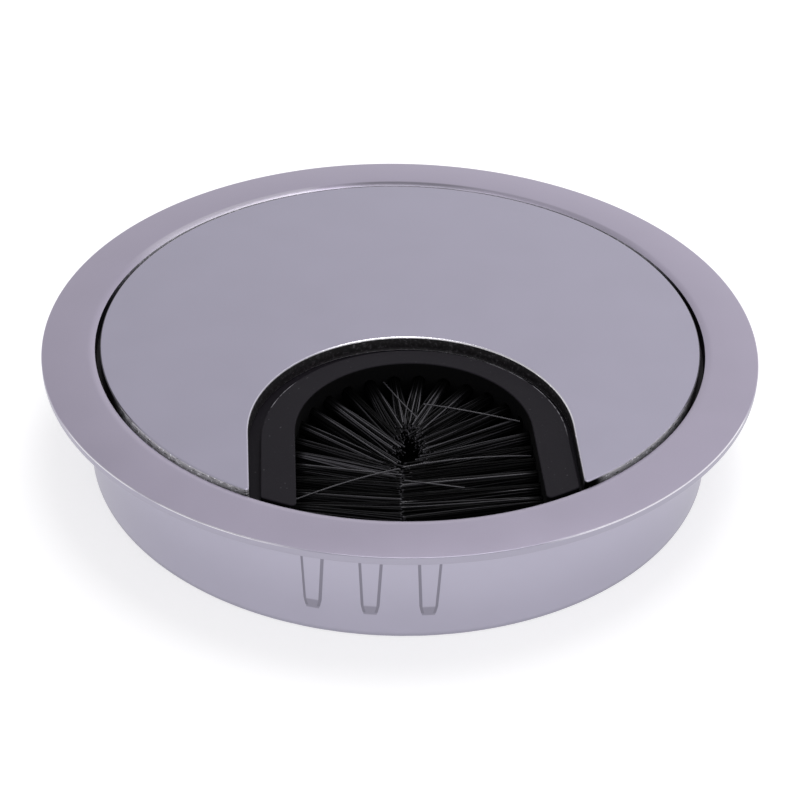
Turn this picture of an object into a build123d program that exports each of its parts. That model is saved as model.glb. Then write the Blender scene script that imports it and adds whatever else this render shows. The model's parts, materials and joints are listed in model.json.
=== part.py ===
from build123d import *
from math import cos, radians, sin, sqrt
import os

# Desk cable grommet with a brush insert. Millimetres, +Z up.
# The origin is on the tube's axis, at the plane of the tube's lower rim. The lid's cut-out opens towards -Y.

# Housing: flange, tube and the ledge that carries the lid
FLANGE_DIAMETER = 90.0
FLANGE_THICKNESS = 1.0
FLANGE_TOP_ROUND = 0.15
FLANGE_UNDER_ROUND = 0.15
TUBE_DIAMETER = 79.9
TUBE_WALL = 1.5
TUBE_RIM_ROUND = 0.4
HOUSING_HEIGHT = 16.0
RECESS_WALL = 1.5
RECESS_ROLL_WIDTH = 1.0
RECESS_ROLL_DEPTH = 0.22
LEDGE_WIDTH = 1.25
LEDGE_THICKNESS = 1.5

# Crush ribs on the outside of the tube, in groups
RIB_GROUPS = 3
RIBS_PER_GROUP = 3
RIB_PITCH_DEG = 9.5
RIB_GROUP_TURN_DEG = -8.1
RIB_TOP_WIDTH = 3.15
RIB_FOOT_WIDTH = 2.1
RIB_TOP_PROUD = 0.2
RIB_FOOT_PROUD = 0.16
RIB_SIDE_RUN = 0.35
RIB_FOOT_HEIGHT = 3.25
RIB_FOOT_SLOPE = 1.4
RIB_CORNER_CUT = 0.3
RIB_ROOT_DEPTH = 0.3
RIB_FOOT_SINK = 0.02

# Lid: a disc with an arch-shaped cut-out, lying on the ledge
LID_GAP = 0.63
LID_THICKNESS = 2.0
LID_PROUD = 0.11
LID_EDGE_ROUND = 0.2
LID_UNDER_ROUND = 0.15
CUTOUT_WIDTH = 38.3
CUTOUT_DEPTH = 35.82
CUTOUT_LEG_TAPER_DEG = 1.2
CUTOUT_CORNER_ROUND = 0.35

# Brush frame: a moulded arch with two legs, screwed up against the lid
FRAME_SIDE_SHIFT = 0.37
COLLAR_ARCH_FORWARD = 0.85
OPENING_ARCH_BACK = 0.3
COLLAR_GAP = 1.1
FACE_WIDTH = 4.0
FACE_BELOW_LID = 0.7
FACE_EDGE_ROUND = 0.15
COLLAR_END_GAP = 0.4
COLLAR_CORNER_ROUND = 0.5
LEDGE_CLEARANCE = 0.3
FRAME_DEPTH = 4.95
FRAME_FLANGE_THICKNESS = 1.5
FRAME_FLANGE_REACH = 5.6

# Screws, and the lid's bosses that they go into
SCREW_SHANK_RADIUS = 1.0
SCREW_HOLE_GAP = 0.05
SCREW_TIP_GAP = 0.15
SCREW_HEAD_RADIUS = 2.8
SCREW_HEAD_HEIGHT = 1.4
SCREW_HEAD_ROUND = 0.6
SCREW_SLOT_WIDTH = 0.55
SCREW_SLOT_LENGTH = 2.8
SCREW_SLOT_DEPTH = 0.7
BOSS_WALL = 0.95
BOSS_SHORTER = 0.2
BOSS_HOLE_GAP = 0.2
BOSS_EDGE_GAP = 0.6
SKIN_OVER_BOSS_HOLE = 0.8
ARCH_SCREW_ANGLE_DEG = 30.0
LEG_SCREW_FORWARD = 3.1

# Bristle tufts, each a plug of filaments in a hole of the frame
ARCH_TUFTS = 14
LEG_TUFT_SPACING = 2.45
TUFT_BELOW_FACE = 2.75
TUFT_PLUG_RADIUS = 0.8
TUFT_PLUG_DEPTH = 2.2
TUFT_PLUG_PROUD = 0.1
TUFT_HOLE_GAP = 0.04
TUFT_END_MARGIN = 0.3
RING_FILAMENTS = 6
FILAMENT_RADIUS = 0.13
FILAMENT_SIDES = 6
FILAMENT_ROOT_RING = 0.46
FILAMENT_ROOT_SINK = 0.4
ARCH_TIP_RISE = 1.05
LEG_TIP_RISE = 0.7
LEG_TIP_SPREAD = 1.05
FRONT_TIP_SPREAD = 2.6
SEAM_GAP = 0.4
CABLE_GAP_WIDTH = 4.5
CABLE_GAP_LENGTH = 6.8
CABLE_GAP_BACK = 0.15
CABLE_GAP_SQUARENESS = 4.0

# Sizes and levels that follow from the ones above
flange_radius = FLANGE_DIAMETER / 2
flange_under_level = HOUSING_HEIGHT - FLANGE_THICKNESS
tube_radius = TUBE_DIAMETER / 2
tube_inner_radius = tube_radius - TUBE_WALL
recess_radius = tube_radius - RECESS_WALL
roll_radius = (RECESS_ROLL_WIDTH ** 2 + RECESS_ROLL_DEPTH ** 2) / (2 * RECESS_ROLL_DEPTH)
roll_tangent = (RECESS_ROLL_WIDTH ** 2 + RECESS_ROLL_DEPTH ** 2) / (2 * RECESS_ROLL_WIDTH)
roll_corner_radius = recess_radius + RECESS_ROLL_WIDTH - roll_tangent
ledge_inner_radius = recess_radius - LEDGE_WIDTH
lid_radius = recess_radius - LID_GAP
lid_top_level = HOUSING_HEIGHT + LID_PROUD
lid_under_level = lid_top_level - LID_THICKNESS
ledge_under_level = lid_under_level - LEDGE_THICKNESS
cutout_radius = CUTOUT_WIDTH / 2
arch_centre_y = CUTOUT_DEPTH - cutout_radius - lid_radius
collar_radius = cutout_radius - COLLAR_GAP
opening_radius = collar_radius - FACE_WIDTH
collar_centre = Vector(FRAME_SIDE_SHIFT, arch_centre_y - COLLAR_ARCH_FORWARD)
opening_centre = Vector(FRAME_SIDE_SHIFT, arch_centre_y + OPENING_ARCH_BACK)
frame_flange_centre = Vector(FRAME_SIDE_SHIFT, arch_centre_y)
face_level = lid_top_level - FACE_BELOW_LID
frame_under_level = face_level - FRAME_DEPTH
frame_flange_under_level = lid_under_level - FRAME_FLANGE_THICKNESS
frame_flange_radius = cutout_radius + FRAME_FLANGE_REACH
frame_end_radius = ledge_inner_radius - LEDGE_CLEARANCE
collar_end_radius = lid_radius - COLLAR_END_GAP
collar_under_level = lid_under_level + LEDGE_CLEARANCE
screw_hole_radius = SCREW_SHANK_RADIUS + SCREW_HOLE_GAP
screw_hole_top_level = lid_top_level - SKIN_OVER_BOSS_HOLE
boss_radius = screw_hole_radius + BOSS_WALL
boss_under_level = frame_flange_under_level + BOSS_SHORTER
boss_arch_radius = cutout_radius + BOSS_EDGE_GAP + boss_radius
tuft_level = face_level - TUFT_BELOW_FACE
tuft_hole_radius = TUFT_PLUG_RADIUS + TUFT_HOLE_GAP
tuft_hole_depth = TUFT_PLUG_DEPTH + TUFT_HOLE_GAP
tuft_hole_reach = abs(FRAME_SIDE_SHIFT) + opening_radius + tuft_hole_depth
leg_end_y = -sqrt(frame_end_radius ** 2 - tuft_hole_reach ** 2)
front_tuft_y = leg_end_y + tuft_hole_radius + TUFT_END_MARGIN
cable_gap_centre_y = arch_centre_y + CABLE_GAP_BACK


def disc(radius, low, high):
    """A round plate on the tube's axis between two levels."""
    return Pos(0, 0, low) * extrude(Circle(radius), high - low)


def arch(centre, radius, low, high, leg_taper_deg=0):
    """A half circle behind a centre, with straight sides running forward past the flange.

    The taper leans both sides inwards towards the front, tangent to the circle."""
    reach = FLANGE_DIAMETER
    turn = radians(leg_taper_deg)
    side = radius * cos(turn)
    side_y = -radius * sin(turn)
    end = side - reach * sin(turn)
    end_y = side_y - reach * cos(turn)
    legs = Polygon((-end, end_y), (end, end_y), (side, side_y), (-side, side_y), align=None)
    outline = legs + Circle(radius)
    return Pos(centre.X, centre.Y, low) * extrude(outline, high - low)


def level_edges(part, level):
    """The edges that lie wholly in one level."""
    return part.edges().filter_by_position(Axis.Z, level, level)


def upright_edges(part, low, high):
    """The straight upright edges whose middle lies between two levels."""
    return part.edges().filter_by(Axis.Z).filter_by_position(Axis.Z, low, high)


def corner_nearest(outline, radius, level):
    """The corner of a turned outline nearest to a radius and a level."""
    return outline.vertices().sort_by_distance(Vector(radius, level))[0]


def rib(turn_deg):
    """One wedge rib: wider and prouder under the flange, with sloping sides and a sloping, narrowed foot."""
    def section(level, width, proud):
        crest = width / 2 - RIB_SIDE_RUN
        spread = RIB_SIDE_RUN / RIB_TOP_PROUD * (proud + RIB_ROOT_DEPTH)
        outer = -tube_radius - proud
        inner = -tube_radius + RIB_ROOT_DEPTH
        points = [(-crest, outer), (crest, outer), (crest + spread, inner), (-crest - spread, inner)]
        return Pos(0, 0, level) * Polygon(*points, align=None)

    foot = section(RIB_FOOT_HEIGHT, RIB_FOOT_WIDTH - 2 * RIB_CORNER_CUT, -RIB_FOOT_SINK)
    shoulder = section(RIB_FOOT_HEIGHT + RIB_FOOT_SLOPE, RIB_FOOT_WIDTH, RIB_FOOT_PROUD)
    top = section(HOUSING_HEIGHT - FLANGE_THICKNESS / 2, RIB_TOP_WIDTH, RIB_TOP_PROUD)
    return Rot(0, 0, turn_deg) * loft([foot, shoulder, top], ruled=True)


def rib_turns():
    """The turns of all ribs about the tube's axis, counted from the front."""
    turns = []
    for group in range(RIB_GROUPS):
        for place in range(RIBS_PER_GROUP):
            offset = (place - (RIBS_PER_GROUP - 1) / 2) * RIB_PITCH_DEG
            turns.append(RIB_GROUP_TURN_DEG + group * 360 / RIB_GROUPS + offset)
    return turns


def make_housing():
    """The casting: one turned section of flange, tube, recess and ledge, with the ribs on the outside."""
    outline = Polygon((tube_inner_radius, 0), (tube_radius, 0), (tube_radius, flange_under_level),
                      (flange_radius, flange_under_level), (flange_radius, HOUSING_HEIGHT),
                      (roll_corner_radius, HOUSING_HEIGHT),
                      (recess_radius, HOUSING_HEIGHT - RECESS_ROLL_DEPTH), (recess_radius, lid_under_level),
                      (ledge_inner_radius, lid_under_level), (ledge_inner_radius, ledge_under_level),
                      (tube_inner_radius, ledge_under_level), align=None)
    rounds = [(tube_radius, 0, TUBE_RIM_ROUND), (flange_radius, flange_under_level, FLANGE_UNDER_ROUND),
              (flange_radius, HOUSING_HEIGHT, FLANGE_TOP_ROUND),
              (roll_corner_radius, HOUSING_HEIGHT, 0.98 * roll_radius)]
    for radius, level, size in rounds:
        outline = fillet(corner_nearest(outline, radius, level), size)
    body = revolve(Plane.XZ * outline, Axis.Z)
    for turn_deg in rib_turns():
        body += rib(turn_deg)
    return body


def boss_places():
    """The four bosses' places: two behind the arch and one beside each leg."""
    places = []
    for side in (-1, 1):
        turn = radians(90 - side * ARCH_SCREW_ANGLE_DEG)
        boss = frame_flange_centre + Vector(cos(turn), sin(turn)) * boss_arch_radius
        places.append((boss.X, boss.Y))
        places.append((FRAME_SIDE_SHIFT + side * boss_arch_radius, arch_centre_y - LEG_SCREW_FORWARD))
    return places


def make_lid():
    """The lid: a disc with the arch cut out to its front edge, and four bosses below for the screws."""
    plate = disc(lid_radius, lid_under_level, lid_top_level)
    plate -= arch(Vector(0, arch_centre_y), cutout_radius, 0, 2 * HOUSING_HEIGHT, CUTOUT_LEG_TAPER_DEG)
    plate = fillet(upright_edges(plate, lid_under_level, lid_top_level), CUTOUT_CORNER_ROUND)
    plate = fillet(level_edges(plate, lid_top_level), LID_EDGE_ROUND)
    plate = fillet(level_edges(plate, lid_under_level), LID_UNDER_ROUND)
    for x, y in boss_places():
        boss_height = lid_under_level - boss_under_level + LID_THICKNESS / 2
        plate += Pos(x, y, boss_under_level) * extrude(Circle(boss_radius), boss_height)
        hole_depth = screw_hole_top_level - boss_under_level
        plate -= Pos(x, y, boss_under_level) * extrude(Circle(screw_hole_radius), hole_depth)
    return plate


def tuft_places():
    """Each tuft's root on the opening's wall and its inward direction, from left leg to right leg."""
    leg_count = int((opening_centre.Y - front_tuft_y) / LEG_TUFT_SPACING) + 1
    leg_rows = [front_tuft_y + place * LEG_TUFT_SPACING for place in range(leg_count)]
    places = [(Vector(opening_centre.X - opening_radius, y), Vector(1, 0)) for y in leg_rows]
    for place in range(ARCH_TUFTS):
        turn = radians(180 * (1 - (place + 0.5) / ARCH_TUFTS))
        outward = Vector(cos(turn), sin(turn))
        places.append((opening_centre + outward * opening_radius, -outward))
    places += [(Vector(opening_centre.X + opening_radius, y), Vector(-1, 0)) for y in reversed(leg_rows)]
    return places


def tuft_rod(root, inward, radius, deep, proud):
    """A rod on a tuft's line, from a depth inside the wall to a short way out of it."""
    start = root - inward * deep + Vector(0, 0, tuft_level)
    return extrude(Plane(origin=start, z_dir=inward) * Circle(radius), deep + proud)


def make_brush_frame():
    """The moulding: collar in the cut-out, body and flange below the lid, holes for bosses and tufts."""
    body = arch(collar_centre, collar_radius, frame_under_level, collar_under_level)
    body += arch(frame_flange_centre, frame_flange_radius, frame_flange_under_level, lid_under_level)
    body &= disc(frame_end_radius, 0, HOUSING_HEIGHT)
    collar = arch(collar_centre, collar_radius, collar_under_level, face_level)
    collar &= disc(collar_end_radius, 0, HOUSING_HEIGHT)
    frame = body + collar - arch(opening_centre, opening_radius, 0, 2 * HOUSING_HEIGHT)
    frame = fillet(upright_edges(frame, collar_under_level, face_level), COLLAR_CORNER_ROUND)
    frame = fillet(level_edges(frame, face_level), FACE_EDGE_ROUND)
    for x, y in boss_places():
        frame -= Pos(x, y, frame_under_level) * extrude(Circle(boss_radius + BOSS_HOLE_GAP), FRAME_DEPTH)
    for root, inward in tuft_places():
        frame -= tuft_rod(root, inward, tuft_hole_radius, tuft_hole_depth, TUFT_PLUG_PROUD)
    return frame


def make_screw(x, y):
    """One pan-head screw, head down, driven up into its boss."""
    tip_level = screw_hole_top_level - SCREW_TIP_GAP
    head_under_level = frame_flange_under_level - SCREW_HEAD_HEIGHT
    head = disc(SCREW_HEAD_RADIUS, head_under_level, frame_flange_under_level)
    head = fillet(level_edges(head, head_under_level), SCREW_HEAD_ROUND)
    slot = Rectangle(SCREW_SLOT_LENGTH, SCREW_SLOT_WIDTH) + Rectangle(SCREW_SLOT_WIDTH, SCREW_SLOT_LENGTH)
    head -= Pos(0, 0, head_under_level) * extrude(slot, SCREW_SLOT_DEPTH)
    shank = disc(SCREW_SHANK_RADIUS, frame_flange_under_level, tip_level)
    return Pos(x, y) * (head + shank)


def cable_gap_reach(turn):
    """How far the rim of the clear gap between the tips lies from its centre in one direction."""
    across = abs(cos(turn)) / (CABLE_GAP_WIDTH / 2)
    along = abs(sin(turn)) / (CABLE_GAP_LENGTH / 2)
    return (across ** CABLE_GAP_SQUARENESS + along ** CABLE_GAP_SQUARENESS) ** (-1 / CABLE_GAP_SQUARENESS)


def leg_tip_x(y):
    """How far from the seam a leg's filament ends: at the seam, or at the rim of the clear gap."""
    share = abs(y - cable_gap_centre_y) / (CABLE_GAP_LENGTH / 2)
    rim = CABLE_GAP_WIDTH / 2 * max(0, 1 - share ** CABLE_GAP_SQUARENESS) ** (1 / CABLE_GAP_SQUARENESS)
    return max(SEAM_GAP / 2, rim)


def ring_shares():
    """Where a tuft's filaments stand, sideways and up, as shares of the ring's radius, lowest first."""
    turns = [radians(360 * (place + 0.25) / RING_FILAMENTS) for place in range(RING_FILAMENTS)]
    return sorted([(cos(turn), sin(turn)) for turn in turns] + [(0, 0)], key=lambda share: share[1])


def leg_tips(root, inward):
    """The tips of a leg tuft's filaments: its ring spread wider, the front one's to the outlet's end."""
    tips = []
    for sideways, up in ring_shares():
        along = sideways * inward.X
        spread = FRONT_TIP_SPREAD if along < 0 and root.Y == front_tuft_y else LEG_TIP_SPREAD
        y = root.Y + along * spread
        tips.append(Vector(-inward.X * leg_tip_x(y), y, tuft_level + LEG_TIP_RISE * up))
    return tips


def filament_tips(root, inward):
    """The tips of one tuft's filaments, lowest first: one above another on the arch, fanned on a leg."""
    if inward.Y == 0:
        return leg_tips(root, inward)
    shares = [2 * place / RING_FILAMENTS - 1 for place in range(RING_FILAMENTS + 1)]
    outward = -inward
    reach = cable_gap_reach(radians(Vector(1, 0).get_signed_angle(outward)))
    rim = Vector(0, cable_gap_centre_y) + outward * reach
    return [rim + Vector(0, 0, tuft_level + ARCH_TIP_RISE * share) for share in shares]


def filament_roots(root, inward):
    """The roots of one tuft's filaments in its plug, lowest first: a ring about one in the middle."""
    across = Vector(-inward.Y, inward.X)
    middle = root - inward * FILAMENT_ROOT_SINK + Vector(0, 0, tuft_level)
    up_line = Vector(0, 0, 1)
    return [middle + (across * sideways + up_line * up) * FILAMENT_ROOT_RING
            for sideways, up in ring_shares()]


def make_tuft(root, inward):
    """One tuft: its plug in the frame, and its filaments from the plug to their tips."""
    tuft = tuft_rod(root, inward, TUFT_PLUG_RADIUS, TUFT_PLUG_DEPTH, TUFT_PLUG_PROUD)
    for start, tip in zip(filament_roots(root, inward), filament_tips(root, inward)):
        run = tip - start
        section = Plane(origin=start, z_dir=run) * RegularPolygon(FILAMENT_RADIUS, FILAMENT_SIDES)
        tuft += extrude(section, run.length)
    return tuft


def write_parts():
    """Builds every piece and writes one file for each."""
    os.makedirs("parts", exist_ok=True)
    export_step(make_housing(), "parts/housing.step")
    export_step(make_lid(), "parts/lid.step")
    export_step(make_brush_frame(), "parts/brush_frame.step")
    screws = Compound(children=[make_screw(x, y) for x, y in boss_places()])
    export_step(screws, "parts/frame_screws.step")
    for number, (root, inward) in enumerate(tuft_places(), start=1):
        export_step(make_tuft(root, inward), f"parts/bristle_tuft_{number:02d}.step")


write_parts()
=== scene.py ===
"""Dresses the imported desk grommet: satin-chrome casting and lid, black brush frame, nylon bristles."""

import json
import logging
import math
from dataclasses import dataclass, field
from enum import Enum
from typing import Any, Sequence

import bpy
import numpy as np
from mathutils import Matrix, Quaternion, Vector

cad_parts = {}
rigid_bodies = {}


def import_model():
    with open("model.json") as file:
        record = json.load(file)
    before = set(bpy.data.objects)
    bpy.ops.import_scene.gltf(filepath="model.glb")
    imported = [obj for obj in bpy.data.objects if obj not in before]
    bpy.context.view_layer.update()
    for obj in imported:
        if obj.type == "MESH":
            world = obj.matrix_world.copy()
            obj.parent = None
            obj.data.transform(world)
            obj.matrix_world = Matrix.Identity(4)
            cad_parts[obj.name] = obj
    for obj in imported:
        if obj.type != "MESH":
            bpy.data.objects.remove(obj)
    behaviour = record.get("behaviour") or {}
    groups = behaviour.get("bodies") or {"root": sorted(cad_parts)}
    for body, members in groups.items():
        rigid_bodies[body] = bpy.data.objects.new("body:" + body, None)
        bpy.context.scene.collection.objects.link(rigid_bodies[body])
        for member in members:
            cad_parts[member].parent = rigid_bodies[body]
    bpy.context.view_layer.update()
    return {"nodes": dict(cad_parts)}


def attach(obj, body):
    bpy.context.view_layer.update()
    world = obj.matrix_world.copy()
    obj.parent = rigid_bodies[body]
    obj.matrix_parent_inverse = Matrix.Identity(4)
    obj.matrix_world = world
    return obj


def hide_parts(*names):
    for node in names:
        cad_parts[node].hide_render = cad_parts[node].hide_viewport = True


for leftover in list(bpy.data.objects):
    bpy.data.objects.remove(leftover)
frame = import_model()

MM = 0.001
GOLDEN_TURN = 2.39996
LOG = logging.getLogger("grommet")

Array = np.ndarray
Piece = bpy.types.Object
Socket = bpy.types.NodeSocket
Faces = list[Array]
Colour = tuple[float, float, float]
Point = tuple[float, float, float]
Band = tuple[float, ...]
Layer = tuple[Any, Colour]


class Side(Enum):
    """Which wall of the outlet a leg of the brush stands on."""

    LEFT = -1
    RIGHT = 1


# Mesh helpers

def rounded_profile(corners: Sequence[Point], steps: int) -> Array:
    """Rounds every corner of a closed outline.

    At each corner the arc's centre lies on the bisector at radius / sin(half angle), and the arc's points turn
    evenly from the one tangent point to the other.

    Args:
        corners: (x, y, radius) of each corner, in order.
        steps: points on each arc.

    Returns:
        The outline's points, (corners * steps, 2).
    """
    table = np.asarray(corners, float)
    place, radius = table[:, :2], table[:, 2:3]
    back = np.roll(place, 1, 0) - place
    ahead = np.roll(place, -1, 0) - place
    back /= np.linalg.norm(back, axis=1, keepdims=True)
    ahead /= np.linalg.norm(ahead, axis=1, keepdims=True)
    opening = np.arccos(np.clip((back * ahead).sum(1, keepdims=True), -1, 1))
    reach = radius / np.tan(opening / 2)
    middle = (back + ahead) / np.linalg.norm(back + ahead, axis=1, keepdims=True)
    centre = place + middle * radius / np.sin(opening / 2)
    first = (place + back * reach - centre) / radius
    last = (place + ahead * reach - centre) / radius
    turn = np.pi - opening
    share = np.linspace(0, 1, steps)[None, :, None]
    turn, first, last = turn[:, None, :], first[:, None, :], last[:, None, :]
    arc = (np.sin((1 - share) * turn) * first + np.sin(share * turn) * last) / np.sin(turn)
    return (centre[:, None, :] + radius[:, None, :] * arc).reshape(-1, 2)


def circle(turns: Array) -> Array:
    """The unit circle's points at some angles, (count, 2)."""
    return np.stack([np.cos(turns), np.sin(turns)], 1)


def ring_faces(rows: int, columns: int, close_rows: bool = False) -> Array:
    """Quads of a grid whose columns run round and close, and whose rows may close too.

    Args:
        rows: number of rows.
        columns: number of columns.
        close_rows: whether the last row joins the first.

    Returns:
        Vertex indices, (quads, 4).
    """
    row = np.arange(rows if close_rows else rows - 1)[:, None]
    column = np.arange(columns)[None, :]
    below, above = row * columns, (row + 1) % rows * columns
    following = (column + 1) % columns
    quads = np.stack([below + column, below + following, above + following, above + column], -1)
    return quads.reshape(-1, 4)


def signed_volume(points: Array, faces: Faces) -> float:
    """Six times the volume inside closed faces.

    Each face is a fan of triangles a, b, c from its first corner, and a triangle adds a . (b x c).

    Args:
        points: vertices, (count, 3).
        faces: index arrays, one row per face.

    Returns:
        A number above zero where the faces point outwards.
    """
    total = 0.0
    for group in faces:
        a = points[group[:, 0]][:, None, :]
        b, c = points[group[:, 1:-1]], points[group[:, 2:]]
        total += float((a * np.cross(b, c)).sum())
    return total


def carry(mesh: bpy.types.Mesh, name: str, values: Array) -> None:
    """Gives each vertex of a mesh a number, under a name."""
    mesh.attributes.new(name, "FLOAT", "POINT").data.foreach_set("value", values.astype(np.float32))


def stand(name: str, data: Any) -> Piece:
    """Puts new data into the scene.

    Args:
        name: the object's name.
        data: its mesh, light or camera.

    Returns:
        The object.
    """
    piece = bpy.data.objects.new(name, data)
    bpy.context.scene.collection.objects.link(piece)
    return piece


@dataclass
class Shell:
    """Closed surfaces gathered for one mesh, in millimetres, with a painted shade value at each vertex."""

    points: list[Array] = field(default_factory=list)
    faces: Faces = field(default_factory=list)
    crease: list[Array] = field(default_factory=list)

    def add(self, points: Array, faces: Faces, crease: Array | None = None) -> None:
        """Adds one closed surface, turned so that its faces point outwards.

        Args:
            points: vertices, (count, 3).
            faces: index arrays that count from this surface's first vertex.
            crease: a painted shade from 0 to 1 at each vertex, 1 deep in a corner.
        """
        if signed_volume(points, faces) < 0:
            faces = [group[:, ::-1] for group in faces]
        start = sum(len(block) for block in self.points)
        self.points.append(points)
        self.faces += [group + start for group in faces]
        self.crease.append(np.zeros(len(points)) if crease is None else crease)

    def make(self, name: str, sharp_deg: float) -> Piece:
        """Makes the mesh object, smooth but for edges sharper than an angle.

        Args:
            name: the piece's name.
            sharp_deg: the angle between faces from which an edge stays sharp, in degrees.

        Returns:
            The object, at the origin.
        """
        points = np.concatenate(self.points) * MM
        sizes = np.concatenate([np.full(len(group), group.shape[1]) for group in self.faces])
        corners = np.concatenate([group.ravel() for group in self.faces])
        mesh = bpy.data.meshes.new(name)
        mesh.vertices.add(len(points))
        mesh.vertices.foreach_set("co", points.astype(np.float32).ravel())
        mesh.loops.add(len(corners))
        mesh.loops.foreach_set("vertex_index", corners.astype(np.int32))
        mesh.polygons.add(len(sizes))
        starts = np.concatenate([[0], np.cumsum(sizes)[:-1]])
        mesh.polygons.foreach_set("loop_start", starts.astype(np.int32))
        mesh.polygons.foreach_set("use_smooth", np.ones(len(sizes), bool))
        mesh.update(calc_edges=True)
        mesh.validate()
        mesh.set_sharp_from_angle(angle=math.radians(sharp_deg))
        carry(mesh, "crease", np.concatenate(self.crease))
        return stand(name, mesh)


# Shader helpers

class Shade:
    """A number in a node tree. Python's operators on it add the Math nodes."""

    def __init__(self, board: "Board", socket: Socket) -> None:
        """Keeps the tree and the socket."""
        self.board = board
        self.socket = socket

    def _math(self, operation: str, *values: Any) -> "Shade":
        """Adds one Math node on these values."""
        node = self.board.add("Math", {"operation": operation}, dict(enumerate(values)))
        return Shade(self.board, node.outputs[0])

    def __add__(self, other: Any) -> "Shade":
        """Sum."""
        return self._math("ADD", self, other)

    __radd__ = __add__

    def __sub__(self, other: Any) -> "Shade":
        """Difference."""
        return self._math("SUBTRACT", self, other)

    def __rsub__(self, other: Any) -> "Shade":
        """Difference, turned round."""
        return self._math("SUBTRACT", other, self)

    def __mul__(self, other: Any) -> "Shade":
        """Product."""
        return self._math("MULTIPLY", self, other)

    __rmul__ = __mul__

    def __pow__(self, other: Any) -> "Shade":
        """Power."""
        return self._math("POWER", self, other)

    def size(self) -> "Shade":
        """Value without its sign."""
        return self._math("ABSOLUTE", self)

    def least(self, other: Any) -> "Shade":
        """The smaller of two values."""
        return self._math("MINIMUM", self, other)

    def most(self, other: Any) -> "Shade":
        """The larger of two values."""
        return self._math("MAXIMUM", self, other)

    def hypot(self, other: "Shade") -> "Shade":
        """The long side of a right triangle whose short sides are this number and another."""
        return (self * self + other * other) ** 0.5

    def step(self, band: Band) -> "Shade":
        """The soft step over a band in millimetres, on a number in metres. A second pair adds a second step."""
        mask = self.rise(band[0] * MM, band[1] * MM)
        return mask * self.step(band[2:]) if band[2:] else mask

    def rise(self, low: float, high: float) -> "Shade":
        """A soft step from 0 at low to 1 at high, which also falls where high is below low.

        Args:
            low: where the step starts.
            high: where it ends.

        Returns:
            The step.
        """
        ends = (low, high, 0.0, 1.0) if low < high else (high, low, 1.0, 0.0)
        names = ("From Min", "From Max", "To Min", "To Max")
        node = self.board.add("MapRange", {"interpolation_type": "SMOOTHSTEP"},
                              {"Value": self, **dict(zip(names, ends))})
        return Shade(self.board, node.outputs[0])


class Board:
    """The node tree of one material or world, to which one method adds every node."""

    def __init__(self, owner: Any) -> None:
        """Empties the owner's node tree.

        Args:
            owner: a material or a world.
        """
        owner.use_nodes = True
        self.tree = owner.node_tree
        self.tree.nodes.clear()

    def add(self, kind: str, settings: dict[str, Any] | None = None,
            inputs: dict[Any, Any] | None = None) -> bpy.types.Node:
        """Adds a node: its settings first, then its sockets' values and links.

        Args:
            kind: the node's type, without ShaderNode before it.
            settings: properties by name; "stops" gives a ramp's places and colours.
            inputs: values, sockets or Shade numbers, by the socket's name or index.

        Returns:
            The node.
        """
        node = self.tree.nodes.new("ShaderNode" + kind)
        for name, value in (settings or {}).items():
            if name == "stops":
                elements = node.color_ramp.elements
                while len(elements) < len(value):
                    elements.new(0.5)
                for element, (place, colour) in zip(elements, value):
                    element.position, element.color = place, (*colour, 1.0)
            else:
                setattr(node, name, value)
        for name, value in (inputs or {}).items():
            socket = node.inputs[name]
            if isinstance(value, Shade):
                value = value.socket
            if isinstance(value, Socket):
                self.tree.links.new(value, socket)
            else:
                socket.default_value = value
        return node

    def place(self) -> Socket:
        """The point's place in the object's own coordinates, in metres."""
        return self.add("TexCoord").outputs["Object"]

    def axes(self, vector: Socket) -> tuple[Shade, Shade, Shade]:
        """The three numbers of a vector."""
        outputs = self.add("SeparateXYZ", None, {0: vector}).outputs
        return Shade(self, outputs[0]), Shade(self, outputs[1]), Shade(self, outputs[2])

    def noise(self, waves: float, detail: float = 2.0, roughness: float = 0.5,
              vector: Socket | None = None) -> Shade:
        """Fractal noise about 0.5 in the object's coordinates.

        Args:
            waves: waves per metre.
            detail: octaves.
            roughness: how much each octave adds.
            vector: other coordinates.

        Returns:
            The noise.
        """
        inputs = {"Vector": vector or self.place(), "Scale": waves, "Detail": detail, "Roughness": roughness}
        return Shade(self, self.add("TexNoise", None, inputs).outputs[0])

    def attribute(self, name: str) -> Shade:
        """A number that the mesh carries at its vertices."""
        return Shade(self, self.add("Attribute", {"attribute_name": name}).outputs["Fac"])

    def facing(self) -> Shade:
        """How level the surface lies: 1 where it faces straight up or down, 0 on an upright wall."""
        return self.axes(self.add("NewGeometry").outputs["Normal"])[2].size()

    def vector(self, *numbers: Shade) -> Socket:
        """A vector, or a colour, of three numbers."""
        return self.add("CombineXYZ", None, dict(enumerate(numbers))).outputs[0]

    def between(self, share: Any, first: Any, second: Any) -> Socket:
        """A colour mixed from two, each a link or three numbers, by a share from 0 to 1."""
        ends = [(*end, 1.0) if isinstance(end, tuple) else end for end in (first, second)]
        return self.add("Mix", {"data_type": "RGBA"}, {0: share, 6: ends[0], 7: ends[1]}).outputs[2]

    def paint(self, base: Any, *layers: Layer) -> Socket:
        """Lays colours over a first one.

        Args:
            base: the lowest colour.
            layers: a share and a colour each, the lowest first.

        Returns:
            The colour that they make.
        """
        for share, colour in layers:
            base = self.between(share, base, colour)
        return base

    def bump(self, height: Shade, depth_mm: float, strength: float) -> Socket:
        """The normal of a surface raised by a height from 0 to 1 times a depth."""
        inputs = {"Strength": strength, "Distance": depth_mm * MM, "Height": height}
        return self.add("Bump", None, inputs).outputs["Normal"]

    def finish(self, **inputs: Any) -> None:
        """Adds the surface shader and the output.

        Args:
            inputs: values of the shader's sockets, by their names with _ for spaces.
        """
        named = {name.replace("_", " "): value for name, value in inputs.items()}
        shader = self.add("BsdfPrincipled", None, named)
        self.add("OutputMaterial", None, {"Surface": shader.outputs[0]})


# Finishes

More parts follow.
